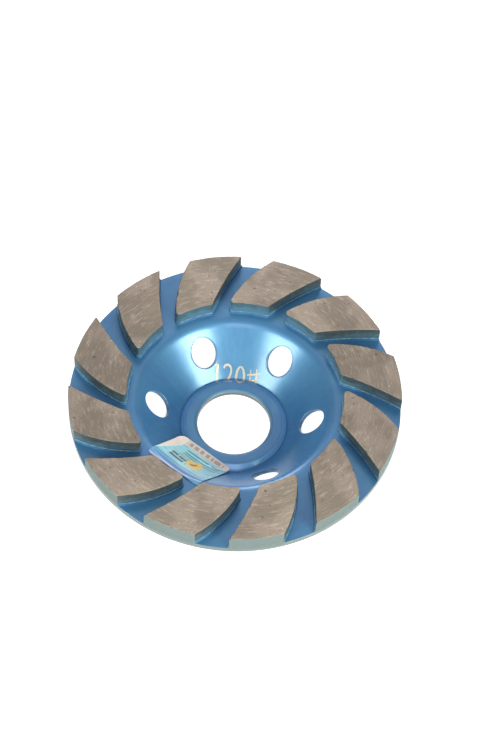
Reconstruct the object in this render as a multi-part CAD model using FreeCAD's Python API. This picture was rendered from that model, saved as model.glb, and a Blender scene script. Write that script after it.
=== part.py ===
import FreeCAD, Part
import math
import os
from FreeCAD import Vector

# Diamond cup wheel for a small angle grinder, lying on its back face.
# Millimetres. The Z axis is the bore axis, z = 0 is the flat back that seats on the spindle
# flange, and +Z points towards the grinding face.

# Steel cup: a dished plate with a flat rim, a sloping bowl wall and a flat hub
wheel_d = 100.0            # over the ground segments and the rim
rim_z = 14.2               # back face to the rim floor, where the segments stand
rim_t = 2.4                # thickness of the rim
wall_t = 1.3               # thickness of the bowl wall, which is drawn thinner
rim_land_w = 3.0           # flat between the lip of the bowl and the segments
lip_bend_r = 4.5           # where the bowl turns over into the rim
foot_bend_r = 0.5          # where the bowl wall rises from the groove
base_bend_r = 2.0          # back edge of the bowl
under_bend_r = 1.2         # hollow corner under the rim
rim_chamfer = 0.5          # lower edge of the rim

# Hub: a raised boss ring round the bore, with a narrow groove outside it
bore_d = 22.23             # seven-eighths of an inch, the usual spindle size
bore_chamfer = 0.8
boss_w = 4.6               # bore wall to the outside of the boss ring
boss_chamfer = 0.6
hub_t = 2.8                # back face to the top of the boss ring
groove_h = 1.5             # depth of the groove below the boss ring
groove_w = 0.9             # groove between the boss ring and the foot of the bowl wall

# Vent holes, oval along the slope and square to the bowl wall
hole_count = 6
hole_w = 7.8
hole_len = 10.0
hole_rise = 0.5            # from the middle of the wall up the slope
hole_phase_deg = 57.0      # angle of the first hole

# Grinding segments: curved blocks that lean forward from the outside to the inside
segment_count = 12
segment_len = 17.5         # radially, from the outside of the wheel inwards
segment_h = 5.4            # rim floor to the grinding face, braze included
segment_phase_deg = 19.75  # angle of the first segment's leading outer corner
lean_mid_deg = 8.95        # how far the leading flank has turned at mid length
lean_inner_deg = 17.2      # the same at its inner end
gap_outer_deg = 11.5       # clear angle between two segments at the outside
gap_mid_deg = 9.0          # the same at mid length
gap_inner_deg = 9.1        # the same at the inner end
plan_corner_r = 1.0        # inner corners, in plan; the outer ones are ground sharp
grind_stock_w = 2.0        # how far the outline runs on before the outside is ground flush

# Braze: a thin layer under each segment that stands out round its foot as a small bead
braze_t = 0.25
bead_w = 0.45

# Thin label, stuck down the bowl wall from the rim to the boss ring, over one vent hole
label_turn_deg = -124.5    # direction of its middle
label_w = 19.0
label_t = 0.2
label_glue_t = 0.05        # glue under the label
label_grip_w = 2.1         # how far its straight inner edge reaches in over the boss ring
label_gap = 0.6            # its outer corners to the braze of the nearest segments
label_corner_r = 1.0

wheel_r = wheel_d / 2
bore_r = bore_d / 2
boss_r = bore_r + boss_w
face_z = rim_z + segment_h
groove_z = hub_t - groove_h
groove_out_r = boss_r + groove_w
segment_in_r = wheel_r - segment_len
lip_r = segment_in_r - rim_land_w
wall_angle = math.atan2(rim_z - groove_z, lip_r - groove_out_r)
pitch = 360.0 / segment_count


def bowl_r(z, stand_off=0.0):
    """Radius, at height z, of the inner bowl wall or of a surface that stands off it."""
    return groove_out_r + (z - groove_z) / math.tan(wall_angle) - stand_off / math.sin(wall_angle)


def at(radius, degrees):
    """Plan point at a radius and an angle round the Z axis."""
    turn = math.radians(degrees)
    return Vector(radius * math.cos(turn), radius * math.sin(turn), 0)


def rounded_profile(corners):
    """Closed face in the XZ plane through (r, z, round) corners, each with its own rounding."""
    starts = []
    arcs = []
    count = len(corners)
    for i in range(count):
        before, here, after = corners[i - 1], corners[i], corners[(i + 1) % count]
        point = Vector(here[0], 0, here[1])
        back = Vector(before[0], 0, before[1]) - point
        ahead = Vector(after[0], 0, after[1]) - point
        if here[2] == 0:
            starts.append((point, point))
            arcs.append(None)
            continue
        half = back.getAngle(ahead) / 2
        reach = min(here[2] / math.tan(half), 0.45 * back.Length, 0.45 * ahead.Length)
        radius = reach * math.tan(half)
        back.normalize()
        ahead.normalize()
        into = (back + ahead).normalize()
        first = point + back * reach
        last = point + ahead * reach
        middle = point + into * (radius / math.sin(half) - radius)
        starts.append((first, last))
        arcs.append(Part.Arc(first, middle, last).toShape())
    edges = []
    for i in range(count):
        if arcs[i]:
            edges.append(arcs[i])
        leave = starts[i][1]
        arrive = starts[(i + 1) % count][0]
        edges.append(Part.LineSegment(leave, arrive).toShape())
    return Part.Face(Part.Wire(edges))


def turned(corners):
    """Solid of revolution about the Z axis."""
    return rounded_profile(corners).revolve(Vector(0, 0, 0), Vector(0, 0, 1), 360)


def cup_body():
    """The dished steel plate in one piece, with its bore and vent holes."""
    under_z = rim_z - rim_t
    body = turned([
        (bore_r, bore_chamfer, 0),
        (bore_r + bore_chamfer, 0, 0),
        (bowl_r(0, -wall_t), 0, base_bend_r),
        (bowl_r(under_z, -wall_t), under_z, under_bend_r),
        (wheel_r - rim_chamfer, under_z, 0),
        (wheel_r, under_z + rim_chamfer, 0),
        (wheel_r, rim_z, 0),
        (lip_r, rim_z, lip_bend_r),
        (groove_out_r, groove_z, foot_bend_r),
        (boss_r, groove_z, 0),
        (boss_r, hub_t - boss_chamfer, 0),
        (boss_r - boss_chamfer, hub_t, 0),
        (bore_r + bore_chamfer, hub_t, 0),
        (bore_r, hub_t - bore_chamfer, 0),
    ])
    for i in range(hole_count):
        body = body.cut(spun(punch(), hole_phase_deg + i * 360.0 / hole_count))
    return body


def punch():
    """Oval bar through the middle of the bowl wall at angle zero, square to the wall."""
    reach = 2 * wall_t
    oval = Part.Ellipse(Vector(0, 0, -reach), hole_len / 2, hole_w / 2).toShape()
    bar = Part.Face(Part.Wire(oval)).extrude(Vector(0, 0, 2 * reach))
    bar.translate(Vector(hole_rise, 0, 0))
    bar.rotate(Vector(0, 0, 0), Vector(0, 1, 0), -math.degrees(wall_angle))
    bar.translate(Vector((groove_out_r + lip_r) / 2, 0, (groove_z + rim_z) / 2))
    return bar


def flank_angle(radius, outside, middle, inside):
    """Angle of a flank at a radius, on the smooth curve through its three given angles."""
    along = (wheel_r - radius) / segment_len
    return (outside * (1 - along) * (1 - 2 * along)
            + middle * 4 * along * (1 - along)
            + inside * along * (2 * along - 1))


def segment_outline():
    """Plan face of the first segment, inner corners rounded, run on past the outside."""
    radii = [wheel_r + grind_stock_w, wheel_r - segment_len / 2, segment_in_r]
    lead = segment_phase_deg
    trail = lead - pitch
    front = [at(r, flank_angle(r, lead, lead + lean_mid_deg, lead + lean_inner_deg)) for r in radii]
    back = [at(r, flank_angle(r, trail + gap_outer_deg, trail + lean_mid_deg + gap_mid_deg,
                              trail + lean_inner_deg + gap_inner_deg)) for r in radii]
    outer_middle = at(radii[0], (lead + trail + gap_outer_deg) / 2)
    inner_middle = at(radii[2], (lead + trail + gap_inner_deg) / 2 + lean_inner_deg)
    sides = [
        Part.Arc(front[0], front[1], front[2]),
        Part.Arc(front[2], inner_middle, back[2]),
        Part.Arc(back[2], back[1], back[0]),
        Part.Arc(back[0], outer_middle, front[0]),
    ]
    outline = Part.Face(Part.Wire([side.toShape() for side in sides]))
    return outline.makeOffset2D(-plan_corner_r).makeOffset2D(plan_corner_r)


def raised(outline, bottom, top):
    """A plan face raised from one height to another, and ground flush with the wheel's outside."""
    block = outline.extrude(Vector(0, 0, top - bottom))
    block.translate(Vector(0, 0, bottom))
    return block.common(Part.makeCylinder(wheel_r, top))


def label():
    """Thin label that follows the rim, the lip and the bowl wall down onto the boss ring."""
    low = label_glue_t
    high = label_glue_t + label_t
    inner = boss_r - label_grip_w
    corner_r = segment_in_r - bead_w - label_gap
    outer = math.sqrt(corner_r ** 2 - (label_w / 2) ** 2)
    band = turned([
        (inner / 2, hub_t + low, 0),
        (bowl_r(hub_t + low, low), hub_t + low, 0),
        (bowl_r(rim_z + low, low), rim_z + low, 0),
        (segment_in_r, rim_z + low, 0),
        (segment_in_r, rim_z + high, 0),
        (bowl_r(rim_z + high, high), rim_z + high, 0),
        (bowl_r(hub_t + high, high), hub_t + high, 0),
        (inner / 2, hub_t + high, 0),
    ])
    sheet = Part.makeBox(outer - inner, label_w, face_z, Vector(inner, -label_w / 2, 0))
    upright = [e for e in sheet.Edges if abs(e.Vertexes[0].Z - e.Vertexes[1].Z) > face_z / 2]
    sheet = sheet.makeFillet(label_corner_r, upright)
    sheet.rotate(Vector(0, 0, 0), Vector(0, 0, 1), label_turn_deg)
    return band.common(sheet)


def spun(shape, degrees):
    """Copy of a shape, turned about the Z axis."""
    copy = shape.copy()
    copy.rotate(Vector(0, 0, 0), Vector(0, 0, 1), degrees)
    return copy


def save(name, shape):
    """Write one solid as its own STEP file."""
    solid = shape.Solids[0] if len(shape.Solids) == 1 else shape
    solid.exportStep(os.path.join("parts", name + ".step"))
    print("%-12s %8.1f mm3  valid %s  solids %d" % (
        name, solid.Volume, solid.isValid(), len(shape.Solids)))


os.makedirs("parts", exist_ok=True)
save("body", cup_body())
plan = segment_outline()
block = raised(plan, rim_z + braze_t, face_z)
filler = raised(plan.makeOffset2D(bead_w), rim_z, rim_z + braze_t)
for number in range(segment_count):
    save("segment_%02d" % (number + 1), spun(block, number * pitch))
    save("braze_%02d" % (number + 1), spun(filler, number * pitch))
save("label", label())
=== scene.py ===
import math
import random

import bmesh
import bpy
from mathutils import Matrix, Vector, noise
from mathutils.geometry import delaunay_2d_cdt


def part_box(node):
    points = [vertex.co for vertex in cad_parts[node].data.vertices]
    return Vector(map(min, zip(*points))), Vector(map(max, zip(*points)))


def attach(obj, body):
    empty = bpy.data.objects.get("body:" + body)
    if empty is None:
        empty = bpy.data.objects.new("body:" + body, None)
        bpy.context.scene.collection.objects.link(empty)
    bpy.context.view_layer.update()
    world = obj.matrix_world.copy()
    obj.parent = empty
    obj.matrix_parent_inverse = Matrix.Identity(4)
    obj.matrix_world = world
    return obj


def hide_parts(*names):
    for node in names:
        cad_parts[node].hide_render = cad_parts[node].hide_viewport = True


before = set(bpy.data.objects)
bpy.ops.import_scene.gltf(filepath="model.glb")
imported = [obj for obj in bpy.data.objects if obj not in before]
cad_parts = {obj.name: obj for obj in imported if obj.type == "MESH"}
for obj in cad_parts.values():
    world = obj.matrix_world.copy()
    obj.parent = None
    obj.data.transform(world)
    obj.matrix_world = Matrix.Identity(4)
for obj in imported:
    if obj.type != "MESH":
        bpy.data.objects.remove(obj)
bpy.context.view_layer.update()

# Diamond cup wheel, lying on its back face on a white floor. All shapes are worked out in
# millimetres, in the CAD model's frame, and scaled to metres when each mesh is made. Names
# that end in R are radii, and those that end in Z are heights above the back face.
MM = 0.001


def hundredths(length):
    """A length of the frame in millimetres, to the hundredth."""
    return round(length / MM, 2)


# The cup, as in the CAD model
WHEEL_R = hundredths(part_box("body")[1].x)
RIM_Z = hundredths(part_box("body")[1].z)
FACE_Z = hundredths(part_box("segment_01")[1].z)
RIM_T = 2.4
WALL_T = 1.3
BORE_R = 11.115
BOSS_R = 15.715
HUB_T = 2.8
GROOVE_Z = 1.3
GROOVE_OUT_R = 16.615
LIP_R = 29.5
LIP_BEND_R = 4.5
WALL_ANGLE = math.atan2(RIM_Z - GROOVE_Z, LIP_R - GROOVE_OUT_R)
HOLES = 6
HOLE_W = 7.8
HOLE_LEN = 10.0
HOLE_RISE = 0.5            # from the middle of the wall up the slope
HOLE_PITCH_R = (GROOVE_OUT_R + LIP_R) / 2 + HOLE_RISE * math.cos(WALL_ANGLE)
HOLE_PHASE = 57.0

# Edges of the cup, which paint and polish leave softer than the CAD model's chamfers
BORE_EDGE_W = 0.9          # upper edge of the bore: reach and height
BORE_EDGE_H = 0.45
BORE_BACK_EDGE = 0.72      # lower edge of the bore
BORE_MIDDLE_Z = 1.4        # where the front and the back of the section meet in the bore
BOSS_EDGE_W = 0.9          # the boss ring slopes off softly into the groove
RIM_EDGE = 0.5             # lower edge of the rim
HOLE_EDGE = 0.22           # rounding of each hole's edge

# How finely the cup is meshed
AROUND = 288               # steps round the wheel
PROFILE_STEP = 2.5         # longest step along the section
RIM_MIDDLE_R = 38.0        # one more ring across the flat rim
FRONT_BAND = (18.0, 27.8)  # the bowl wall between these radii holds the vent holes,
BACK_BAND = (17.9, 28.5)   # and the same on its back
BAND_STEPS = 14            # steps across the band between two holes
TOWARDS_HOLE = (0.86, 0.7, 0.54, 0.4, 0.28, 0.18, 0.1, 0.04)      # shares of the way out
EDGE_BENDS = (0, 30, 60, 90)                                      # degrees round a hole's edge
BARE_AND_SHADED_FROM_BEND = 60        # the punched edge is darker from here on: less paint, and painted shade
HOLE_WALL_STEPS = 5

# The grinding segments, as in the CAD model
SEGMENTS = 12
SEGMENT_LEN = 17.5
SEGMENT_IN_R = WHEEL_R - SEGMENT_LEN
SEGMENT_PHASE = 19.75
LEAN_MID = 8.95
LEAN_INNER = 17.2
GAP_OUTER = 11.5
GAP_MID = 9.0
GAP_INNER = 9.1
PLAN_CORNER_R = 1.0
GRIND_STOCK = 2.0
PITCH = 360.0 / SEGMENTS

# Wear of the segments
FOOT_SUNK = 0.16           # into the rim, so that no seam shows at the ground outside
OUTSIDE_BAND = 0.2         # flanks keep straight this close to the ground outside
FLANK_RIPPLE = 0.035
FLANK_LEVELS = (RIM_Z - FOOT_SUNK, RIM_Z - FOOT_SUNK + 0.1,       # heights of a flank's rings
                RIM_Z + 1.2, RIM_Z + 2.6, FACE_Z - 1.2)
EDGE_WEAR = 0.22           # rounding of the top edge, with how much it varies
EDGE_WEAR_SPREAD = 0.08
CORNER_WEAR = 0.35         # more at the sharp outer corners, fading over a short way
CORNER_REACH = 0.7
CHIPS = 9
FACE_STEP = 0.4            # spacing of the points on a ground face
FACE_MARGIN = 0.22         # their least distance from its edge

# Rings of the worn edge: each one's share of the bend, and how far it is set down
EDGE_RINGS = [(0, 0.08)] + [(k / 5, 0) for k in range(6)]

# The braze: a bead drawn up the foot of each segment
BEAD_W = 0.45
DRAWN_UP = 0.9
BEAD_INSET = 0.02          # clear of the wheel's outside

# Section of the bead: how far out, in bead widths, or in millimetres where negative, and how
# high, as a share of DRAWN_UP
BEAD_SECTION = [
    (-0.35, 0.0), (-0.35, 0.5), (-0.02, 0.99), (0.2, 1.0), (0.32, 0.96), (0.38, 0.86),
    (0.42, 0.5), (0.52, 0.22), (0.7, 0.07), (1.0, 0.0),
]

# The label, in its place in the CAD model, but thinner and with a lifted corner
LABEL_TURN = -124.5
LABEL_W = 19.0
LABEL_IN = BOSS_R - 2.1
LABEL_OUT = 29.93          # just inside the CAD label's outer end
LABEL_LEN = LABEL_OUT - LABEL_IN
LABEL_T = 0.1
LABEL_STAND_OFF = 0.1
LABEL_CORNER_R = 1.0
FOLD_CORNER_R = 2.6        # the corner that stands up is worn rounder
FOLD_LEN = 13.0            # from the corner to its fold, along the label's side
FOLD_W = 3.2               # and along its inner edge

# The grit number
MARK_BOLD = 1.08           # widens all its strokes
MARK_LIFT = 0.03           # above the paint


# Plain geometry

def bowl_r(z, stand_off=0.0):
    """Radius of the inner bowl wall at a height, or of a surface that stands off it."""
    return GROOVE_OUT_R + (z - GROOVE_Z) / math.tan(WALL_ANGLE) - stand_off / math.sin(WALL_ANGLE)


def polar(radius, degrees):
    """Plan point at a radius and an angle round the axis."""
    turn = math.radians(degrees)
    return Vector((radius * math.cos(turn), radius * math.sin(turn)))


def turned(vector, angle):
    """A 2-D vector turned by an angle in radians."""
    c, s = math.cos(angle), math.sin(angle)
    return Vector((vector.x * c - vector.y * s, vector.x * s + vector.y * c))


def smooth_step(value, low, high):
    """0 at low and 1 at high, with a smooth rise between."""
    t = min(1.0, max(0.0, (value - low) / (high - low)))
    return t * t * (3 - 2 * t)


def arc_room(neighbour):
    """Share of a side that an arc may take: more where the next corner's arc is small."""
    return 0.85 if neighbour[2] < 0.3 else 0.45


def rounded(corners):
    """Open polyline through 2-D corners (x, y, round), with an arc where round is not 0."""
    arc_step = 12.0
    points = []
    for i, (x, y, radius) in enumerate(corners):
        here = Vector((x, y))
        if radius == 0:
            points.append(here)
            continue
        back = Vector(corners[i - 1][:2]) - here
        ahead = Vector(corners[i + 1][:2]) - here
        half = back.angle(ahead) / 2
        reach = min(radius / math.tan(half), arc_room(corners[i - 1]) * back.length,
                    arc_room(corners[i + 1]) * ahead.length)
        radius = reach * math.tan(half)
        back.normalize()
        ahead.normalize()
        centre = here + (back + ahead).normalized() * (radius / math.sin(half))
        start = here + back * reach - centre
        sweep = math.pi - 2 * half
        sign = 1 if back.x * ahead.y - back.y * ahead.x < 0 else -1
        steps = max(3, round(math.degrees(sweep) / arc_step))
        for k in range(steps + 1):
            points.append(centre + turned(start, sign * sweep * k / steps))
    return points


def arc_through(a, b, c, count):
    """Points on the circle through three plan points, from the first to the last."""
    d = 2 * (a.x * (b.y - c.y) + b.x * (c.y - a.y) + c.x * (a.y - b.y))
    aa, bb, cc = a.dot(a), b.dot(b), c.dot(c)
    centre = Vector(((aa * (b.y - c.y) + bb * (c.y - a.y) + cc * (a.y - b.y)) / d,
                     (aa * (c.x - b.x) + bb * (a.x - c.x) + cc * (b.x - a.x)) / d))
    start, end = a - centre, c - centre
    sweep = math.atan2(start.x * end.y - start.y * end.x, start.dot(end))
    return [centre + turned(start, sweep * i / count) for i in range(count + 1)]


def resampled(points, step):
    """The same polyline with points about one step apart, ends kept."""
    lengths = [0.0]
    for a, b in zip(points, points[1:]):
        lengths.append(lengths[-1] + (b - a).length)
    count = max(1, round(lengths[-1] / step))
    out = []
    k = 0
    for i in range(count + 1):
        want = lengths[-1] * i / count
        while k < len(points) - 2 and lengths[k + 1] < want:
            k += 1
        span = lengths[k + 1] - lengths[k] or 1.0
        out.append(points[k].lerp(points[k + 1], (want - lengths[k]) / span))
    return out


def curve_through(points):
    """Smooth curve through plan points."""
    steps = 6
    pts = [Vector(p) for p in points]
    out = []
    for i in range(len(pts) - 1):
        p0, p1, p2, p3 = pts[max(i - 1, 0)], pts[i], pts[i + 1], pts[min(i + 2, len(pts) - 1)]
        for k in range(steps):
            t = k / steps
            out.append(0.5 * ((2 * p1) + (p2 - p0) * t + (2 * p0 - 5 * p1 + 4 * p2 - p3) * t * t
                              + (3 * p1 - p0 - 3 * p2 + p3) * t ** 3))
    out.append(pts[-1])
    return out


def point_inside(p, loop, margin):
    """Whether a plan point lies inside a loop, at least a margin away from its points."""
    inside = False
    for i in range(len(loop)):
        a, b = loop[i - 1], loop[i]
        if (a.y > p.y) != (b.y > p.y) and p.x < (b.x - a.x) * (p.y - a.y) / (b.y - a.y) + a.x:
            inside = not inside
        if (b - p).length_squared < margin * margin:
            return False
    return inside


def new_object(name, verts, faces, smooth=True, closed=True):
    """Mesh object from vertices in millimetres. A closed one has its normals turned outwards."""
    mesh = bpy.data.meshes.new(name)
    mesh.from_pydata([(x * MM, y * MM, z * MM) for x, y, z in verts], [], faces)
    mesh.validate()
    if closed:
        tidy = bmesh.new()
        tidy.from_mesh(mesh)
        bmesh.ops.recalc_face_normals(tidy, faces=tidy.faces)
        tidy.to_mesh(mesh)
        tidy.free()
    for polygon in mesh.polygons:
        polygon.use_smooth = smooth
    mesh.update()
    obj = bpy.data.objects.new(name, mesh)
    bpy.context.scene.collection.objects.link(obj)
    return obj


def add_ring(verts, points):
    """Adds points to a list of vertices and returns their numbers in it."""
    first = len(verts)
    verts.extend(tuple(p) for p in points)
    return list(range(first, len(verts)))


def bridge(a, b):
    """Quads between two closed rings of vertices."""
    return list(zip(a, a[1:] + a[:1], b[1:] + b[:1], b))


def mark_vertices(obj, name, indices):
    """Attribute that is 1 at the given vertices and 0 elsewhere, for the materials to read."""
    marks = obj.data.attributes.new(name, "FLOAT", "POINT")
    for i in indices:
        marks.data[i].value = 1.0


# The cup

def wall_z(radius):
    """Height of the straight part of the bowl wall."""
    return GROOVE_Z + (radius - GROOVE_OUT_R) * math.tan(WALL_ANGLE)


def back_z(radius):
    """Height of the back of the bowl wall."""
    return max(0.0, (radius - bowl_r(0.0, -WALL_T)) * math.tan(WALL_ANGLE))


def cup_profile():
    """Section (radius, height, rounding) of the cup in three strips, with the bands left out."""
    under_z = RIM_Z - RIM_T
    front = rounded([
        (BORE_R, BORE_MIDDLE_Z, 0),
        (BORE_R, HUB_T - BORE_EDGE_H, 0.2),
        (BORE_R + BORE_EDGE_W, HUB_T, 0.6),
        (BOSS_R - BOSS_EDGE_W, HUB_T, 1.4),
        (GROOVE_OUT_R, GROOVE_Z, 0.15),
        (FRONT_BAND[0], wall_z(FRONT_BAND[0]), 0),
    ])
    rim = rounded([
        (FRONT_BAND[1], wall_z(FRONT_BAND[1]), 0),
        (LIP_R, RIM_Z, LIP_BEND_R),
        (RIM_MIDDLE_R, RIM_Z, 0),
        (WHEEL_R, RIM_Z, 0.14),
        (WHEEL_R, under_z + RIM_EDGE, 0.2),
        (WHEEL_R - RIM_EDGE, under_z, 0.2),
        (bowl_r(under_z, -WALL_T), under_z, 1.2),
        (BACK_BAND[1], back_z(BACK_BAND[1]), 0),
    ])
    back = rounded([
        (BACK_BAND[0], back_z(BACK_BAND[0]), 0),
        (bowl_r(0.0, -WALL_T), 0.0, 2.0),
        (BORE_R + BORE_BACK_EDGE, 0.0, 0.3),
        (BORE_R, BORE_BACK_EDGE, 0.25),
        (BORE_R, BORE_MIDDLE_Z, 0),
    ])
    return front, rim, back[:-1]


def front_z(radius):
    """Height of the cup's front between the bore and the top of the wall, for what lies on it."""
    front, rim, _ = cup_profile()
    line = front + rim[:1]
    for a, b in zip(line, line[1:]):
        if a.x <= radius <= b.x and b.x > a.x:
            return a.y + (b.y - a.y) * (radius - a.x) / (b.x - a.x)
    raise ValueError("that radius is not on the front of the cup")


def hole_direction(j):
    """Plan direction from the axis to the middle of hole j."""
    return polar(1.0, HOLE_PHASE + 360.0 / HOLES * j)


def hole_point(j, turn, grow, height, sink):
    """Point of hole j's edge, grown by an amount and sunk below a surface of the wall."""
    out = hole_direction(j).to_3d()
    side = Vector((-out.y, out.x, 0.0))
    rise = Vector((0.0, 0.0, 1.0))
    slope = out * math.cos(WALL_ANGLE) + rise * math.sin(WALL_ANGLE)
    normal = rise * math.cos(WALL_ANGLE) - out * math.sin(WALL_ANGLE)
    p = out * HOLE_PITCH_R + rise * wall_z(HOLE_PITCH_R)
    p += (side * (HOLE_W / 2 + grow) * math.cos(turn)
          + slope * (HOLE_LEN / 2 + grow) * math.sin(turn))
    for _ in range(8):
        p -= normal * (p.z - height(math.hypot(p.x, p.y))) * math.cos(WALL_ANGLE)
    return p - normal * sink


def hole_turn(j, p):
    """Angle about hole j's middle, on its oval, at which a plan point lies."""
    out = hole_direction(j)
    across = (p.y * out.x - p.x * out.y) / HOLE_W
    up = (p.dot(out) - HOLE_PITCH_R) / math.cos(WALL_ANGLE) / HOLE_LEN
    return math.atan2(up, across)


def make_cup():
    """Lathed body with its six holes, all in quads that follow the holes."""
    verts, faces = [], []
    hole_turns = {}
    punched = []
    start = HOLE_PHASE - 180.0 / HOLES
    per = AROUND // HOLES

    def lathe_ring(point):
        around = [polar(point.x, start + 360.0 * i / AROUND) for i in range(AROUND)]
        return add_ring(verts, [(p.x, p.y, point.y) for p in around])

    def band_line(inner, outer, direction, height):
        """Vertices across the band, in one direction, from one ring's vertex to the other's."""
        r_in = Vector(verts[inner][:2]).length
        r_out = Vector(verts[outer][:2]).length
        radii = [r_in + (r_out - r_in) * m / BAND_STEPS for m in range(1, BAND_STEPS)]
        between = [(*polar(radius, direction), height(radius)) for radius in radii]
        return [inner] + add_ring(verts, between) + [outer]

    def hole_band(inner, outer, height, upward):
        """The band of the wall round the six holes. Returns each hole's ring of edge vertices."""
        lines = [band_line(inner[per * j], outer[per * j], start + 360.0 / HOLES * j, height)
                 for j in range(HOLES)]
        edges = []
        for j in range(HOLES):
            left, right = lines[j], lines[(j + 1) % HOLES]
            low = [inner[(per * j + i) % AROUND] for i in range(per + 1)]
            high = [outer[(per * j + i) % AROUND] for i in range(per + 1)]
            loop = low[:-1] + right[:-1] + high[::-1][:-1] + left[::-1][:-1]
            if j not in hole_turns:
                hole_turns[j] = [hole_turn(j, Vector(verts[v][:2])) for v in loop]
            edge = [hole_point(j, turn, HOLE_EDGE, height, 0.0) for turn in hole_turns[j]]
            rings = [loop]
            for t in TOWARDS_HOLE:
                plan = [e.xy.lerp(Vector(verts[v][:2]), t) for v, e in zip(loop, edge)]
                rings.append(add_ring(verts, [(p.x, p.y, height(p.length)) for p in plan]))
            for bend in EDGE_BENDS:
                grow = HOLE_EDGE * (1 - math.sin(math.radians(bend)))
                sink = HOLE_EDGE * (1 - math.cos(math.radians(bend))) * (1 if upward else -1)
                rings.append(add_ring(verts, [hole_point(j, turn, grow, height, sink)
                                              for turn in hole_turns[j]]))
                if bend >= BARE_AND_SHADED_FROM_BEND:
                    punched.extend(rings[-1])
            for a, b in zip(rings, rings[1:]):
                faces.extend(bridge(a, b) if upward else bridge(b, a))
            edges.append(rings[-1])
        return edges

    strips = []
    for strip in cup_profile():
        dense = [strip[0]]
        for a, b in zip(strip, strip[1:]):
            parts = max(1, math.ceil((b - a).length / PROFILE_STEP))
            dense += [a.lerp(b, k / parts) for k in range(1, parts + 1)]
        rings = [lathe_ring(p) for p in dense]
        for a, b in zip(rings, rings[1:]):
            faces.extend(bridge(b, a))
        strips.append(rings)
    front, rim, back = strips
    faces.extend(bridge(front[0], back[-1]))

    tops = hole_band(front[-1], rim[0], wall_z, True)
    bottoms = hole_band(back[0], rim[-1], back_z, False)
    for top, bottom in zip(tops, bottoms):
        rings = [top]
        for k in range(1, HOLE_WALL_STEPS):
            down = k / HOLE_WALL_STEPS
            rings.append(add_ring(verts, [Vector(verts[a]).lerp(Vector(verts[b]), down)
                                          for a, b in zip(top, bottom)]))
            punched.extend(rings[-1])
        for a, b in zip(rings, rings[1:] + [bottom]):
            faces.extend(bridge(a, b))
    obj = new_object("cup", verts, faces)
    mark_vertices(obj, "punched", punched)
    return obj


# The segments and their braze

def flank_angle(radius, outside, middle, inside):
    """Angle of a flank at a radius, on the smooth curve through its three given angles."""
    along = (WHEEL_R - radius) / SEGMENT_LEN
    return (outside * (1 - along) * (1 - 2 * along)
            + middle * 4 * along * (1 - along)
            + inside * along * (2 * along - 1))


def cut_at_rim(points):
    """The polyline from where it crosses the wheel's outside, inwards."""
    for i, (a, b) in enumerate(zip(points, points[1:])):
        if a.length > WHEEL_R >= b.length:
            t = (a.length - WHEEL_R) / (a.length - b.length)
            return [a.lerp(b, t).normalized() * WHEEL_R] + points[i + 1:]
    return points


def corner_arc(before, corner, after):
    """Arc that rounds the corner between two polylines that meet there, and its reach."""
    back = (before[-3] - corner).normalized()
    ahead = (after[2] - corner).normalized()
    half = back.angle(ahead) / 2
    reach = PLAN_CORNER_R / math.tan(half)
    middle = corner + (back + ahead).normalized() * (PLAN_CORNER_R / math.sin(half) - PLAN_CORNER_R)
    return arc_through(corner + back * reach, middle, corner + ahead * reach, 8), reach


def segment_outline():
    """Plan outline of the first segment, anticlockwise, from its leading outer corner."""
    clear, side_steps, end_steps = 0.05, 60, 40
    radii = [WHEEL_R + GRIND_STOCK, WHEEL_R - SEGMENT_LEN / 2, SEGMENT_IN_R]
    lead = SEGMENT_PHASE
    trail = lead - PITCH
    front = [polar(r, flank_angle(r, lead, lead + LEAN_MID, lead + LEAN_INNER)) for r in radii]
    rear = [polar(r, flank_angle(r, trail + GAP_OUTER, trail + LEAN_MID + GAP_MID,
                                 trail + LEAN_INNER + GAP_INNER)) for r in radii]
    inner_middle = polar(radii[2], (lead + trail + GAP_INNER) / 2 + LEAN_INNER)
    lead_side = cut_at_rim(arc_through(*front, side_steps))
    inner_side = arc_through(front[2], inner_middle, rear[2], end_steps)
    rear_side = cut_at_rim(arc_through(*rear, side_steps))[::-1]
    turn_a = math.degrees(math.atan2(rear_side[-1].y, rear_side[-1].x))
    turn_b = math.degrees(math.atan2(lead_side[0].y, lead_side[0].x))
    outer_side = [polar(WHEEL_R, turn_a + (turn_b - turn_a) * i / end_steps)
                  for i in range(end_steps + 1)]
    arc_a, reach_a = corner_arc(lead_side, front[2], inner_side)
    arc_b, reach_b = corner_arc(inner_side, rear[2], rear_side)
    keep_lead = [p for p in lead_side if (p - front[2]).length > reach_a + clear]
    keep_inner = [p for p in inner_side if (p - front[2]).length > reach_a + clear
                  and (p - rear[2]).length > reach_b + clear]
    keep_rear = [p for p in rear_side if (p - rear[2]).length > reach_b + clear]
    inward = resampled(keep_lead + arc_a + keep_inner + arc_b + keep_rear, 0.33)
    outward = resampled(outer_side, 0.4)
    return inward[:-1] + outward[:-1]


def outline_normals(points):
    """Outward direction at each point of an anticlockwise outline, longer at sharp corners."""
    normals = []
    for i in range(len(points)):
        a = (points[i] - points[i - 1]).normalized()
        b = (points[(i + 1) % len(points)] - points[i]).normalized()
        n = Vector((a.y + b.y, -a.x - b.x)).normalized()
        normals.append(n / max(0.5, n.dot(Vector((a.y, -a.x)))))
    return normals


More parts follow.
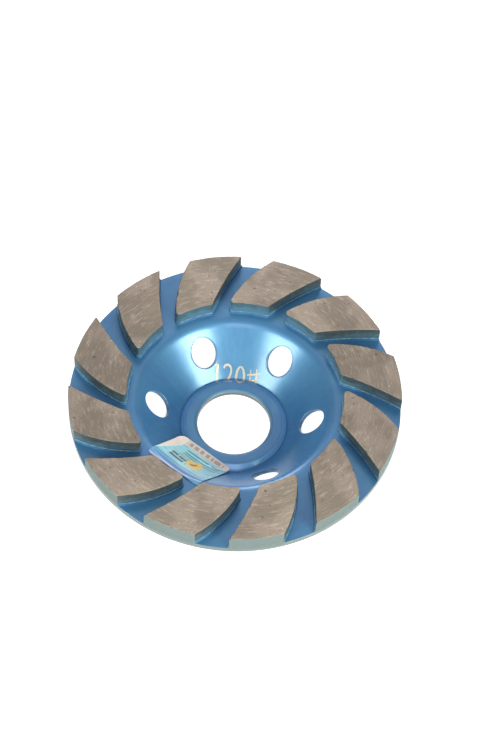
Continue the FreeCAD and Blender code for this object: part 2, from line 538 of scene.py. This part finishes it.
def edge_wear(points, normals, index, seed):
    """How much of the top edge has worn away at each outline point, chips included."""
    count = len(points)
    chips = [(seed.randrange(count), seed.uniform(0.5, 1.6), seed.uniform(0.05, 0.26))
             for _ in range(CHIPS)]
    corners = [p for p, n in zip(points, normals) if n.length > 1.15]
    wear = []
    for p in points:
        uneven = noise.noise(Vector((p.x * 1.1, p.y * 1.1, index * 7.0)))
        amount = EDGE_WEAR + EDGE_WEAR_SPREAD * uneven
        near_corner = [math.exp(-((c - p).length / CORNER_REACH) ** 2) for c in corners]
        amount += CORNER_WEAR * max(near_corner + [0.0])
        for at, width, depth in chips:
            gap = (points[at] - p).length
            if gap < width:
                amount += depth * (1 - (gap / width) ** 2) ** 2
        wear.append(amount)
    return wear


def points_on_face(edge):
    """Staggered grid of plan points inside the worn edge."""
    low = Vector((min(p.x for p in edge), min(p.y for p in edge)))
    high = Vector((max(p.x for p in edge), max(p.y for p in edge)))
    inside = []
    for gx in range(int((high.x - low.x) / FACE_STEP) + 1):
        for gy in range(int((high.y - low.y) / FACE_STEP) + 1):
            p = low + Vector(((gx + 0.5 * (gy % 2)) * FACE_STEP, gy * FACE_STEP))
            if point_inside(p, edge, FACE_MARGIN):
                inside.append(p)
    return inside


def make_segment(index, outline):
    """One segment: worn top edges with small chips, upright flanks and a ground top with pits."""
    seed = random.Random(400 + index)
    points = [turned(p, math.radians(index * PITCH)) for p in outline]
    normals = outline_normals(points)
    count = len(points)
    worn = edge_wear(points, normals, index, seed)
    verts, faces, rings = [], [], []

    def rippled(p, n, z):
        """Place of a flank's point, uneven but for the ground outside."""
        if p.length > WHEEL_R - OUTSIDE_BAND:
            return p.x, p.y, z
        wave = noise.noise(Vector((p.x * 0.9, p.y * 0.9, z * 0.7 + index)))
        q = p - n * max(0.0, FLANK_RIPPLE * wave)
        return q.x, q.y, z

    def rounded_off(p, n, wear, bend, drop):
        """Place of a point on the worn edge."""
        q = p - n * wear * (1 - math.cos(bend))
        return q.x, q.y, FACE_Z - drop - wear * (1 - math.sin(bend))

    for z in FLANK_LEVELS:
        rings.append(add_ring(verts, [rippled(p, n, z) for p, n in zip(points, normals)]))
    for share, drop in EDGE_RINGS:
        bend = share * math.pi / 2
        rings.append(add_ring(verts, [rounded_off(p, n, wear, bend, drop)
                                      for p, n, wear in zip(points, normals, worn)]))
    for a, b in zip(rings, rings[1:]):
        faces.extend(bridge(a, b))
    faces.append(tuple(reversed(rings[0])))

    edge = [Vector(verts[v][:2]) for v in rings[-1]]
    inside = points_on_face(edge)
    pits = [(seed.choice(inside), seed.uniform(0.25, 0.6), seed.uniform(0.03, 0.11))
            for _ in range(seed.randrange(7, 13))]

    def face_z(p):
        """Height of the ground face, a little uneven, with its pits."""
        z = FACE_Z - 0.004
        z -= 0.010 * (1 + noise.noise(Vector((p.x * 0.25, p.y * 0.25, index * 3.0))))
        for centre, width, depth in pits:
            gap = (centre - p).length
            if gap < width:
                z -= depth * (1 - (gap / width) ** 2)
        return z

    filled = delaunay_2d_cdt(edge + inside, [], [list(range(count))], 1, 1e-5)
    found, _, triangles, origin = filled[:4]
    first_inside = len(verts)
    place = []
    for p, sources in zip(found, origin):
        on_edge = [s for s in sources if s < count]
        if on_edge:
            place.append(rings[-1][on_edge[0]])
        else:
            verts.append((p.x, p.y, face_z(p)))
            place.append(len(verts) - 1)
    for triangle in triangles:
        faces.append(tuple(place[v] for v in triangle))
    obj = new_object("bond_block_%02d" % (index + 1), verts, faces)
    mark_vertices(obj, "ground_top", range(first_inside, len(verts)))
    return obj


def make_bead(index, outline):
    """Braze drawn up round the foot of a segment, hollow, uneven, and flush at the outside."""
    points = [turned(p, math.radians(index * PITCH)) for p in outline]
    normals = outline_normals(points)
    verts, faces, rings = [], [], []

    def bead_point(p, n, out, up):
        lump = noise.noise(Vector((p.x * 0.5, p.y * 0.5, 11.0 + index)))
        fine = noise.noise(Vector((p.x * 2.1, p.y * 2.1, 31.0 + index)))
        width = BEAD_W * (0.85 + 0.2 * lump + 0.08 * fine)
        height = DRAWN_UP * (0.96 + 0.08 * lump + 0.04 * fine)
        q = p + n * (out * width if out > 0 else out)
        if q.length > WHEEL_R - BEAD_INSET:
            q = q * ((WHEEL_R - BEAD_INSET) / q.length)
        return q.x, q.y, RIM_Z + up * height

    for out, up in BEAD_SECTION:
        rings.append(add_ring(verts, [bead_point(p, n, out, up) for p, n in zip(points, normals)]))
    for a, b in zip(rings, rings[1:] + rings[:1]):
        faces.extend(zip(a, b, b[1:] + b[:1], a[1:] + a[:1]))
    return new_object("braze_bead_%02d" % (index + 1), verts, faces)


# The label

def sheet_z(radius, lift):
    """Height of a stiff sheet laid over the hub ring, the bowl wall and the lip."""
    foot_bend, lip_bend = 0.55, 0.5
    wall = wall_z(radius) + lift * math.sqrt(2)      # the wall rises at about 45 degrees
    floor = HUB_T + lift
    rim = RIM_Z + lift
    low = foot_bend * math.log(math.exp((wall - floor) / foot_bend) + 1) + floor
    return rim - lip_bend * math.log(math.exp((rim - low) / lip_bend) + 1)


def label_flat(s, t):
    """Place on the flat sheet (from its inner edge, from its middle), with rounded corners."""
    u = LABEL_LEN * s
    half = LABEL_W / 2
    inner_r = FOLD_CORNER_R if t < 0.5 else LABEL_CORNER_R
    past_outer = u - LABEL_LEN + LABEL_CORNER_R
    reach = half
    if u < inner_r:
        reach = half - inner_r + math.sqrt(inner_r ** 2 - (inner_r - u) ** 2)
    elif past_outer > 0:
        reach = (half - LABEL_CORNER_R
                 + math.sqrt(max(0.0, LABEL_CORNER_R ** 2 - past_outer ** 2)))
    return u, (2 * t - 1) * reach


def label_lift(u, v, radial):
    """How far the sheet stands off what it lies on: u from its inner edge, v from its middle."""
    share = u / LABEL_LEN
    lift = LABEL_STAND_OFF
    # Past the fold the corner stands up at a slope, which starts softly
    past_fold = FOLD_LEN * FOLD_W - u * FOLD_W - (v + LABEL_W / 2) * FOLD_LEN
    past_fold /= math.hypot(FOLD_LEN, FOLD_W)
    lift += 0.25 * (past_fold if past_fold > 0.4 else max(0.0, past_fold + 0.4) ** 2 / 1.6)
    # The inner edge and the other inner corner are a little loose
    lift += 0.35 * smooth_step(-v, -5.0, 2.0) * smooth_step(share, 0.22, 0.0)
    lift += 0.16 * smooth_step(v, 7.0, 9.5) * smooth_step(share, 0.6, 0.0)
    # Uneven glue, and creases near the outer edge
    lift += 0.05 * (1 + noise.noise(Vector((radial * 0.3, v * 0.3, 3.0))))
    crease = max(0.0, noise.noise(Vector((radial * 0.2, v * 0.9, 8.0))))
    return lift + 0.06 * crease * smooth_step(share, 1.0, 0.7)


def label_surface(s, t):
    """Point of the glued side at shares of the length and the width."""
    u, v = label_flat(s, t)
    radial = LABEL_IN + u
    turn = math.radians(LABEL_TURN)
    outwards = Vector((math.cos(turn), math.sin(turn)))
    sideways = Vector((-math.sin(turn), math.cos(turn)))
    p = outwards * radial + sideways * v
    return Vector((p.x, p.y, sheet_z(math.hypot(radial, v), label_lift(u, v, radial))))


def make_label():
    """Thin printed sheet with soft bends, a lifted corner and a few creases."""
    verts, faces, uvs = [], [], []
    across, along = 96, 84
    near = 0.01
    for printed in (True, False):
        for i in range(along + 1):
            for k in range(across + 1):
                s, t = i / along, k / across
                p = label_surface(s, t)
                if printed:
                    step_s = label_surface(min(1, s + near), t) - label_surface(max(0, s - near), t)
                    step_t = label_surface(s, min(1, t + near)) - label_surface(s, max(0, t - near))
                    p = p + step_s.cross(step_t).normalized() * LABEL_T
                verts.append(tuple(p))
                u, v = label_flat(s, t)
                uvs.append((v / LABEL_W + 0.5, u / LABEL_LEN))
    row = across + 1
    size = row * (along + 1)
    for i in range(along):
        for k in range(across):
            a = i * row + k
            faces.append((a, a + row, a + row + 1, a + 1))
            faces.append((size + a, size + a + 1, size + a + row + 1, size + a + row))
    border = ([k for k in range(across)] + [i * row + across for i in range(along)]
              + [along * row + across - k for k in range(across)]
              + [(along - i) * row for i in range(along)])
    for a, b in zip(border, border[1:] + border[:1]):
        faces.append((a, b, size + b, size + a))
    obj = new_object("label_sheet", verts, faces)
    layer = obj.data.uv_layers.new(name="print")
    for loop in obj.data.loops:
        layer.data[loop.index].uv = uvs[loop.vertex_index]
    mark_vertices(obj, "glued_side", range(size, 2 * size))
    return obj


# The grit number

def stroke(points, widths):
    """Rows (left, right) of plan points along a stroke with its own width at each point."""
    rows = []
    for i, p in enumerate(points):
        ahead = points[min(i + 1, len(points) - 1)] - points[max(i - 1, 0)]
        side = Vector((-ahead.y, ahead.x)).normalized() * widths[i] / 2
        rows.append((p - side, p + side))
    return rows


def line_stroke(points, start, end):
    """Stroke along a polyline, from one width to another."""
    dense = resampled([Vector(p) for p in points], 0.1)
    last = len(dense) - 1
    return stroke(dense, [MARK_BOLD * (start + (end - start) * i / last)
                          for i in range(last + 1)])


def ring_stroke(cx, cy, rx, ry, thin, thick):
    """Stroke round an oval, thicker at its sides."""
    points, widths = [], []
    for i in range(61):
        turn = 2 * math.pi * i / 60
        points.append(Vector((cx + rx * math.cos(turn), cy + ry * math.sin(turn))))
        widths.append(MARK_BOLD * (thin + (thick - thin) * abs(math.cos(turn))))
    return stroke(points, widths)


def make_marking():
    """Grit number, laser-marked straight down on the wall and the hub ring."""
    hook = [(-4.2, 18.6), (-4.0, 19.1), (-3.5, 19.45), (-2.9, 19.5), (-2.3, 19.25), (-1.95, 18.7),
            (-1.95, 18.0), (-2.2, 17.2), (-2.75, 16.3), (-3.45, 15.4), (-4.15, 14.55)]
    one = [line_stroke([(-6.15, 19.25), (-6.15, 14.75)], 0.62, 0.62),
           line_stroke([(-6.2, 19.2), (-7.0, 18.75)], 0.5, 0.3)]
    two = [line_stroke(curve_through(hook), 0.45, 0.6),
           line_stroke([(-4.25, 14.6), (-1.45, 14.6)], 0.5, 0.42)]
    nought = [ring_stroke(0.95, 16.85, 1.22, 2.45, 0.34, 0.66)]
    hash_sign = [line_stroke(ends, 0.34, 0.34) for ends in (
        [(3.1, 17.5), (6.9, 17.5)], [(3.0, 16.1), (6.8, 16.1)],
        [(4.15, 18.7), (3.9, 15.0)], [(6.0, 18.7), (5.75, 15.0)])]
    verts, faces = [], []
    lanes = 4
    for rows in one + two + nought + hash_sign:
        last = None
        for a, b in rows:
            across = [a.lerp(b, k / lanes) for k in range(lanes + 1)]
            here = add_ring(verts, [(p.x, p.y, front_z(p.length) + MARK_LIFT) for p in across])
            if last:
                for k in range(lanes):
                    faces.append((last[k], here[k], here[k + 1], last[k + 1]))
            last = here
    return new_object("grit_number", verts, faces, closed=False)


# Materials

def rgb(r, g, b):
    """Linear colour from plain 0 to 255 values."""
    def linear(c):
        c = c / 255
        return c / 12.92 if c <= 0.04045 else ((c + 0.055) / 1.055) ** 2.4
    return (linear(r), linear(g), linear(b), 1.0)


class Shader:
    """Short ways to build one material's node tree around a Principled shader."""

    def __init__(self, name):
        self.material = bpy.data.materials.new(name)
        self.material.use_nodes = True
        self.tree = self.material.node_tree
        self.tree.nodes.clear()
        self.out = self.add("OutputMaterial")
        self.main = self.add("BsdfPrincipled")
        self.tree.links.new(self.main.outputs[0], self.out.inputs["Surface"])

    def add(self, kind, inputs=None, **settings):
        node = self.tree.nodes.new("ShaderNode" + kind)
        for key, value in settings.items():
            setattr(node, key, value)
        for key, value in (inputs or {}).items():
            self.set(node.inputs[key], value)
        return node

    def set(self, socket, value):
        if isinstance(value, bpy.types.NodeSocket):
            self.tree.links.new(value, socket)
        else:
            socket.default_value = value

    def principled(self, **values):
        for key, value in values.items():
            self.set(self.main.inputs[key.replace("_", " ")], value)

    def math(self, operation, a, b=0.0):
        return self.add("Math", {0: a, 1: b}, operation=operation).outputs[0]

    def mix(self, factor, a, b):
        return self.add("Mix", {0: factor, 6: a, 7: b}, data_type="RGBA").outputs[2]

    def span(self, value, low, high, to_low=0.0, to_high=1.0):
        """Smooth step between two values."""
        return self.add("MapRange", {0: value, 1: low, 2: high, 3: to_low, 4: to_high},
                        interpolation_type="SMOOTHSTEP").outputs[0]

    def combine(self, x, y, z=0.0):
        return self.add("CombineXYZ", {0: x, 1: y, 2: z}).outputs[0]

    def noise(self, vector, scale, detail=3.0, rough=0.5):
        return self.add("TexNoise", {"Vector": vector, "Scale": scale, "Detail": detail,
                                     "Roughness": rough}).outputs[0]

    def attribute(self, name):
        return self.add("Attribute", attribute_name=name).outputs["Fac"]

    def place(self):
        """Position in millimetres, radius, height, and the unit vector away from the axis."""
        coord = self.add("TexCoord").outputs["Object"]
        big = self.add("VectorMath", {0: coord, 1: (1000.0,) * 3}, operation="MULTIPLY").outputs[0]
        parts = self.add("SeparateXYZ", {0: big}).outputs
        flat = self.combine(parts[0], parts[1])
        radius = self.add("VectorMath", {0: flat}, operation="LENGTH").outputs["Value"]
        unit = self.add("VectorMath", {0: flat}, operation="NORMALIZE").outputs[0]
        return big, radius, parts[2], unit

    def round_axis(self, unit, radius, height, along, across):
        """Coordinates for marks that run round the axis: slow along them, fast across them."""
        ends = self.add("SeparateXYZ", {0: unit}).outputs
        across_z = self.math("MULTIPLY", self.math("ADD", radius, height), across)
        return self.combine(self.math("MULTIPLY", ends[0], along),
                            self.math("MULTIPLY", ends[1], along), across_z)

    def brushed(self, amount, outwards):
        """Marks that run round the axis stretch the highlights across them, outwards."""
        self.main.inputs["Anisotropic"].default_value = amount
        self.set(self.main.inputs["Tangent"], outwards)

    def bump(self, height, strength, distance):
        """Normal from a height, with its distance in millimetres."""
        return self.add("Bump", {"Height": height, "Strength": strength,
                                 "Distance": distance * MM}).outputs[0]

    def ground_outside(self, radius):
        """1 on the outside of the wheel, ground in one pass over the rim, braze and segments."""
        return self.span(radius, WHEEL_R - 0.14, WHEEL_R - 0.05)

    def ground_steel(self, grain):
        """Colour of that outside."""
        return self.mix(self.span(grain, 0.4, 0.7), rgb(96, 110, 118), rgb(108, 122, 128))


def cup_paint():
    """Translucent metallic blue over turned steel, bare in the bore and on the ground outside."""
    s = Shader("cup_paint")
    place, radius, height, unit = s.place()
    rings = s.noise(s.round_axis(unit, radius, height, 3.0, 5.0), 1.0, 4.0, 0.6)
    slopes = s.noise(s.round_axis(unit, radius, height, 22.0, 0.12), 1.0, 3.0, 0.5)
    in_bowl = s.math("MULTIPLY", s.span(radius, 16.4, 17.2), s.span(radius, 28.6, 27.6))
    fine = s.add("Mix", {0: in_bowl, 2: rings, 3: slopes}).outputs[0]
    cloud = s.noise(place, 0.12, 3.0)
    grain = s.noise(place, 5.0, 2.0, 0.7)
    paint = s.mix(s.span(cloud, 0.3, 0.7), rgb(62, 120, 168), rgb(55, 110, 162))
    paint = s.mix(s.span(fine, 0.4, 0.8, 0.0, 0.25), paint, rgb(82, 136, 176))
    paint = s.mix(s.span(grain, 0.66, 0.8, 0.0, 0.3), paint, rgb(54, 98, 140))
    # Painted highlight: lighter blue on the slope of the boss ring, where its rounded edge catches
    # the light
    slope = s.math("MULTIPLY", s.span(radius, 14.5, 15.1), s.span(radius, 16.3, 15.9))
    paint = s.mix(slope, paint, rgb(104, 160, 214))
    # Little or no paint in the bore, greyer and darker towards its bottom; the punched hole walls
    # darker, partly as bare steel and partly as painted shade
    bare = s.mix(s.span(height, 2.3, 1.6), rgb(92, 128, 158), rgb(78, 80, 84))
    paint = s.mix(s.span(radius, BORE_R + 0.75, BORE_R + 0.5), paint, bare)
    paint = s.mix(s.math("MULTIPLY", s.attribute("punched"), 0.4), paint, rgb(64, 74, 88))
    ground = s.ground_outside(radius)
    rough = s.math("ADD", s.span(cloud, 0.3, 0.7, 0.38, 0.44), s.span(ground, 0, 1, 0.0, 0.1))
    s.principled(Base_Color=s.mix(ground, paint, s.ground_steel(grain)),
                 Metallic=s.span(ground, 0, 1, 0.55, 0.6), Roughness=rough,
                 Normal=s.bump(s.math("ADD", fine, s.math("MULTIPLY", grain, 0.6)), 0.12, 0.015))
    s.principled(Coat_Weight=0.7, Coat_IOR=1.6, Coat_Roughness=0.22)
    s.brushed(0.38, unit)
    return s.material


def bond_metal():
    """Ground sintered bond on top, paint overspray down the flanks, ground bare outside."""
    s = Shader("diamond_bond")
    place, radius, height, unit = s.place()
    scratch = s.noise(s.round_axis(unit, radius, height, 7.0, 3.4), 1.0, 4.0, 0.65)
    coarse = s.noise(s.round_axis(unit, radius, height, 12.0, 1.3), 1.0, 3.0, 0.6)
    grain = s.noise(place, 3.2, 3.0, 0.7)
    glint = s.noise(place, 2.1, 1.0, 0.5)
    blotch = s.noise(place, 0.09, 2.0)
    speck = s.noise(place, 1.1, 2.0)
    # The ground face: blotches, grinding marks, dark grains, and painted glints on the grit
    top = s.mix(s.span(blotch, 0.4, 0.6), rgb(122, 110, 104), rgb(142, 128, 122))
    top = s.mix(s.span(coarse, 0.5, 0.72, 0.0, 0.3), top, rgb(194, 178, 172))
    top = s.mix(s.span(scratch, 0.55, 0.75, 0.0, 0.4), top, rgb(200, 186, 180))
    top = s.mix(s.span(scratch, 0.42, 0.28, 0.0, 0.4), top, rgb(92, 82, 76))
    top = s.mix(s.span(grain, 0.6, 0.72, 0.0, 0.45), top, rgb(84, 76, 70))
    # Painted glints: small white spots for light caught by the grit, gathered in patches
    painted_glints = s.math("MULTIPLY", s.span(glint, 0.68, 0.76), s.span(blotch, 0.42, 0.55, 0.1, 0.6))
    top = s.mix(painted_glints, top, rgb(232, 222, 216))
    # The flanks: dark metal above, blue overspray below, and a lighter blue painted on the inner
    # end as painted light
    drift = s.math("ADD", height, s.span(s.noise(place, 0.35, 3.0), 0.3, 0.7, -0.9, 0.9))
    spray = s.span(drift, FACE_Z - 1.2, RIM_Z + 1.8)
    side = s.mix(spray, rgb(56, 62, 68), rgb(70, 94, 112))
    side = s.mix(s.span(speck, 0.5, 0.7, 0.0, 0.35), side, rgb(72, 96, 112))
    inner_end = s.span(radius, SEGMENT_IN_R + 0.9, SEGMENT_IN_R + 0.5)
    # Painted light: the inner end is lighter because it faces the front lamps
    inner_end_painted_light = s.mix(s.span(drift, FACE_Z - 1.0, RIM_Z + 2.4), rgb(62, 90, 108), rgb(70, 108, 138))
    side = s.mix(s.math("MULTIPLY", inner_end, 0.9), side, inner_end_painted_light)
    side = s.mix(s.ground_outside(radius), side, s.ground_steel(grain))
    # Pits in the face, and the worn edge between face and flank
    inside = s.attribute("ground_top")
    pit = s.math("MULTIPLY", inside, s.span(height, FACE_Z - 0.035, FACE_Z - 0.09, 0.0, 0.75))
    top = s.mix(pit, top, rgb(78, 68, 60))
    worn = s.math("MAXIMUM", inside, s.span(height, FACE_Z - 0.1, FACE_Z - 0.04))
    marks = s.math("ADD", scratch, s.math("MULTIPLY", grain, 0.5))
    s.principled(Base_Color=s.mix(worn, side, top), Metallic=s.span(worn, 0.0, 1.0, 0.12, 0.42),
                 Roughness=s.span(scratch, 0.3, 0.7, 0.5, 0.64), Normal=s.bump(marks, 0.6, 0.05))
    s.brushed(0.75, unit)
    return s.material


def braze_metal():
    """Braze under the paint, with a pale painted highlight along its upper edge, ground bare
    outside.
    """
    s = Shader("braze")
    place, radius, height, _ = s.place()
    lump = s.noise(place, 0.8, 3.0)
    grain = s.noise(place, 3.2, 3.0, 0.7)
    colour = s.mix(s.span(lump, 0.35, 0.65), rgb(50, 94, 142), rgb(56, 102, 148))
    # Painted highlight: a pale line along the bead's upper edge, where it catches the light
    pale = s.math("MULTIPLY", s.span(height, RIM_Z + 0.7, RIM_Z + 0.8),
                  s.span(lump, 0.4, 0.6, 0.35, 1.0))
    colour = s.mix(pale, colour, rgb(124, 160, 178))
    colour = s.mix(s.ground_outside(radius), colour, s.ground_steel(grain))
    s.principled(Base_Color=colour, Metallic=0.2, Roughness=s.span(grain, 0.3, 0.7, 0.5, 0.65),
                 Normal=s.bump(grain, 0.4, 0.05))
    return s.material


def label_print():
    """Generic print: fields of colour, rows of bars and a warm spot, on a pale glossy film, with a
    painted highlight on the lifted corner.
    """
    s = Shader("label_print")
    uv = s.add("UVMap", uv_map="print").outputs[0]
    # t runs along the label's width, and r from its inner edge to its outer one, both 0 to 1
    t, r = s.add("SeparateXYZ", {0: uv}).outputs[:2]

    soft = 0.008

    def box(t0, t1, r0, r1):
        a = s.math("MULTIPLY", s.span(t, t0 - soft, t0 + soft), s.span(t, t1 + soft, t1 - soft))
        b = s.math("MULTIPLY", s.span(r, r0 - soft, r0 + soft), s.span(r, r1 + soft, r1 - soft))
        return s.math("MULTIPLY", a, b)

    def breaks(seed, scale, low, high):
        """Gaps along a bar, cut square across it."""
        return s.span(s.noise(s.combine(s.math("MULTIPLY", t, scale), seed), 1.0, 1.0), low, high)

    def bar(colour, t0, t1, r0, r1, gaps, amount, ink):
        return s.mix(s.math("MULTIPLY", s.math("MULTIPLY", box(t0, t1, r0, r1), gaps), amount),
                     colour, ink)

    mottle = s.noise(uv, 5.0, 3.0)
    streak = s.noise(s.combine(s.math("MULTIPLY", t, 2.2), s.math("MULTIPLY", r, 14.0)), 1.0, 2.0)
    colour = s.mix(s.span(mottle, 0.3, 0.7), rgb(156, 212, 226), rgb(120, 190, 210))
    colour = s.mix(s.span(t, 0.55, 1.0, 0.0, 0.6), colour, rgb(104, 176, 202))
    colour = s.mix(s.span(streak, 0.5, 0.65, 0.0, 0.6), colour, rgb(184, 228, 236))
    # A grey strip with brown blocks along the inner edge
    colour = s.mix(box(-0.1, 1.1, -0.1, 0.14), colour, rgb(206, 192, 192))
    colour = bar(colour, 0.22, 0.9, 0.035, 0.105, breaks(3.0, 18.0, 0.46, 0.5), 0.7,
                 rgb(138, 118, 106))
    # Three fine rows, a green bar and two bold rows
    for number, row in enumerate((0.2, 0.27, 0.34)):
        colour = bar(colour, 0.26, 0.9, row - 0.014, row + 0.014,
                     breaks(20.0 + number, 9.0, 0.36, 0.4), 0.85, rgb(54, 112, 136))
    colour = bar(colour, 0.24, 0.46, 0.39, 0.45, breaks(31.0, 12.0, 0.36, 0.4), 0.8,
                 rgb(150, 172, 112))
    for number, row in enumerate((0.52, 0.62)):
        colour = bar(colour, 0.17, 0.5, row - 0.034, row + 0.034,
                     breaks(41.0 + number, 16.0, 0.42, 0.46), 0.9, rgb(26, 46, 78))
    # The warm spot, ragged, with a darker middle
    dt = s.math("SUBTRACT", t, 0.58)
    dr = s.math("MULTIPLY", s.math("SUBTRACT", r, 0.5), 0.8)
    away = s.math("SQRT", s.math("ADD", s.math("MULTIPLY", dt, dt), s.math("MULTIPLY", dr, dr)))
    ragged = s.math("ADD", away, s.span(s.noise(uv, 9.0, 2.0), 0.3, 0.7, -0.04, 0.04))
    colour = s.mix(s.span(ragged, 0.145, 0.115), colour, rgb(236, 196, 70))
    colour = s.mix(s.span(ragged, 0.05, 0.03), colour, rgb(176, 74, 40))
    # Blue stripes along the outer edge
    edge = s.mix(s.span(mottle, 0.42, 0.58), rgb(84, 158, 204), rgb(124, 152, 206))
    colour = s.mix(s.span(r, 0.8, 0.83), colour, edge)
    colour = s.mix(s.math("MULTIPLY", box(-0.1, 1.1, 0.77, 0.8), 0.85), colour, rgb(48, 108, 140))
    colour = s.mix(s.math("MULTIPLY", box(-0.1, 1.1, 0.88, 0.95), 0.6), colour, rgb(66, 120, 176))
    colour = s.mix(s.math("MULTIPLY", box(-0.1, 0.5, 0.96, 1.1), 0.8), colour, rgb(176, 178, 216))
    # The lifted corner is painted pale as a highlight, with a painted highlight line along its fold
    fold = s.math("ADD", s.math("MULTIPLY", t, LABEL_W / FOLD_W),
                  s.math("MULTIPLY", r, LABEL_LEN / FOLD_LEN))
    colour = s.mix(s.span(fold, 1.03, 0.97), colour, rgb(222, 206, 204))
    crease = s.math("MULTIPLY", s.span(fold, 0.96, 0.99), s.span(fold, 1.05, 1.01))
    colour = s.mix(s.math("MULTIPLY", crease, 0.7), colour, rgb(226, 240, 242))
    backing = s.mix(s.span(mottle, 0.3, 0.7), rgb(206, 208, 204), rgb(190, 194, 194))
    colour = s.mix(s.span(s.attribute("glued_side"), 0.5, 0.9), colour, backing)
    s.principled(Base_Color=colour, Roughness=0.36, Coat_Weight=0.5, Coat_Roughness=0.2,
                 Normal=s.bump(s.noise(uv, 14.0, 3.0), 0.3, 0.08))
    return s.material


def mark_gold():
    """Pale pink-gold of the marking, a little uneven."""
    s = Shader("mark_gold")
    worn = s.noise(s.place()[0], 1.6, 3.0)
    colour = s.mix(s.span(worn, 0.35, 0.65), rgb(194, 176, 164), rgb(168, 162, 146))
    s.principled(Base_Color=colour, Metallic=0.3, Roughness=s.span(worn, 0.3, 0.7, 0.35, 0.5))
    return s.material


# The object

def dress(obj, material, slot, *nodes):
    """Gives a piece its material and body, and hides the CAD nodes that it stands for. The slot is
    not used.
    """
    obj.data.materials.append(material)
    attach(obj, "root")
    if nodes:
        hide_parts(*nodes)


def make_object():
    """All pieces of the wheel."""
    paint, bond, braze = cup_paint(), bond_metal(), braze_metal()
    dress(make_cup(), paint, "cup_paint", "body")
    outline = segment_outline()
    for index in range(SEGMENTS):
        number = "%02d" % (index + 1)
        dress(make_segment(index, outline), bond, "diamond_bond", "segment_" + number)
        dress(make_bead(index, outline), braze, "braze", "braze_" + number)
    dress(make_label(), label_print(), "label", "label")
    dress(make_marking(), mark_gold(), "cup_paint")


# Floor, light and camera

WARM = (0.96, 1.0, 0.76)
LAMPS = [
    # Name, place and size in metres, watts, colour
    ("left_box", (-0.74, -0.68, 0.50), (0.6, 0.6), 12.0, WARM),
    ("right_box", (0.74, -0.68, 0.50), (0.6, 0.6), 15.5, WARM),
    ("front_box", (0.0, -0.75, 0.95), (0.5, 0.5), 2.4, (1, 1, 1)),
    ("front_low", (0.0, -0.92, 0.6), (0.6, 0.3), 0.6, (0.6, 1.0, 0.9)),
    ("back_box", (0.0, 0.38, 0.5), (0.45, 0.45), 0.36, (1, 1, 1)),
    ("back_low", (0.0, 0.5, 0.18), (0.4, 0.18), 1.15, (1, 1, 1)),
]
LAMP_TARGET = (0, 0, 0.01)
ROOM_LEVEL = 0.57          # the room lights the object at this level and is seen as white


def make_floor():
    """White floor that keeps the object's shadow."""
    half, under = 1500.0, -0.05
    floor = new_object("floor", [(-half, -half, under), (half, -half, under), (half, half, under),
                                 (-half, half, under)], [(0, 1, 2, 3)],
                       smooth=False, closed=False)
    s = Shader("floor_white")
    s.tree.nodes.remove(s.main)
    path = s.add("LightPath").outputs
    seen = s.math("MAXIMUM", path["Is Camera Ray"], path["Is Glossy Ray"])
    glow = s.add("Emission", {"Color": (1, 1, 1, 1), "Strength": s.math("MULTIPLY", seen, 0.86)})
    matt = s.add("BsdfDiffuse", {"Color": (0.5, 0.5, 0.5, 1)})
    both = s.add("AddShader", {0: glow.outputs[0], 1: matt.outputs[0]})
    s.tree.links.new(both.outputs[0], s.out.inputs["Surface"])
    floor.data.materials.append(s.material)


def make_lamp(name, place, size, power, colour):
    """Soft box that faces the object."""
    data = bpy.data.lights.new(name, "AREA")
    data.shape = "RECTANGLE"
    data.size, data.size_y = size
    data.energy = power
    data.color = colour
    obj = bpy.data.objects.new(name, data)
    bpy.context.scene.collection.objects.link(obj)
    obj.location = place
    obj.rotation_mode = "QUATERNION"
    obj.rotation_quaternion = (Vector(LAMP_TARGET) - Vector(place)).to_track_quat("-Z", "Y")


def make_world():
    """Even room light, seen by the camera as plain white."""
    world = bpy.data.worlds.new("white_room")
    bpy.context.scene.world = world
    world.use_nodes = True
    tree = world.node_tree
    tree.nodes.clear()
    out = tree.nodes.new("ShaderNodeOutputWorld")
    back = tree.nodes.new("ShaderNodeBackground")
    path = tree.nodes.new("ShaderNodeLightPath")
    level = tree.nodes.new("ShaderNodeMapRange")
    level.inputs[3].default_value = ROOM_LEVEL
    level.inputs[4].default_value = 1.0
    tree.links.new(path.outputs["Is Camera Ray"], level.inputs[0])
    tree.links.new(level.outputs[0], back.inputs["Strength"])
    tree.links.new(back.outputs[0], out.inputs["Surface"])


def make_camera():
    """Camera fitted to the photograph: 57 degrees up, slightly rolled, long lens."""
    up_angle, roll = math.radians(57.275), math.radians(3.882)
    distance, aside, above = 727.9, 4.339, 5.259
    focal_px, image_px, sensor = 2434.7, 750, 36.0
    back = Vector((0, -math.cos(up_angle), math.sin(up_angle)))
    level = Vector((1, 0, 0))
    rise = Vector((0, math.sin(up_angle), math.cos(up_angle)))
    right = level * math.cos(roll) + rise * math.sin(roll)
    up = rise * math.cos(roll) - level * math.sin(roll)
    place = Vector((0, 0, FACE_Z)) + back * distance + right * aside + up * above
    data = bpy.data.cameras.new("camera")
    data.sensor_width = sensor
    data.lens = focal_px / image_px * sensor
    data.clip_start, data.clip_end = 0.01, 20.0
    obj = bpy.data.objects.new("camera", data)
    bpy.context.scene.collection.objects.link(obj)
    turn = Matrix((right, up, back)).transposed().to_4x4()
    obj.matrix_world = Matrix.Translation(place * MM) @ turn
    bpy.context.scene.camera = obj


make_object()
make_floor()
make_world()
for lamp in LAMPS:
    make_lamp(*lamp)
make_camera()
bpy.context.scene.view_settings.view_transform = "Standard"
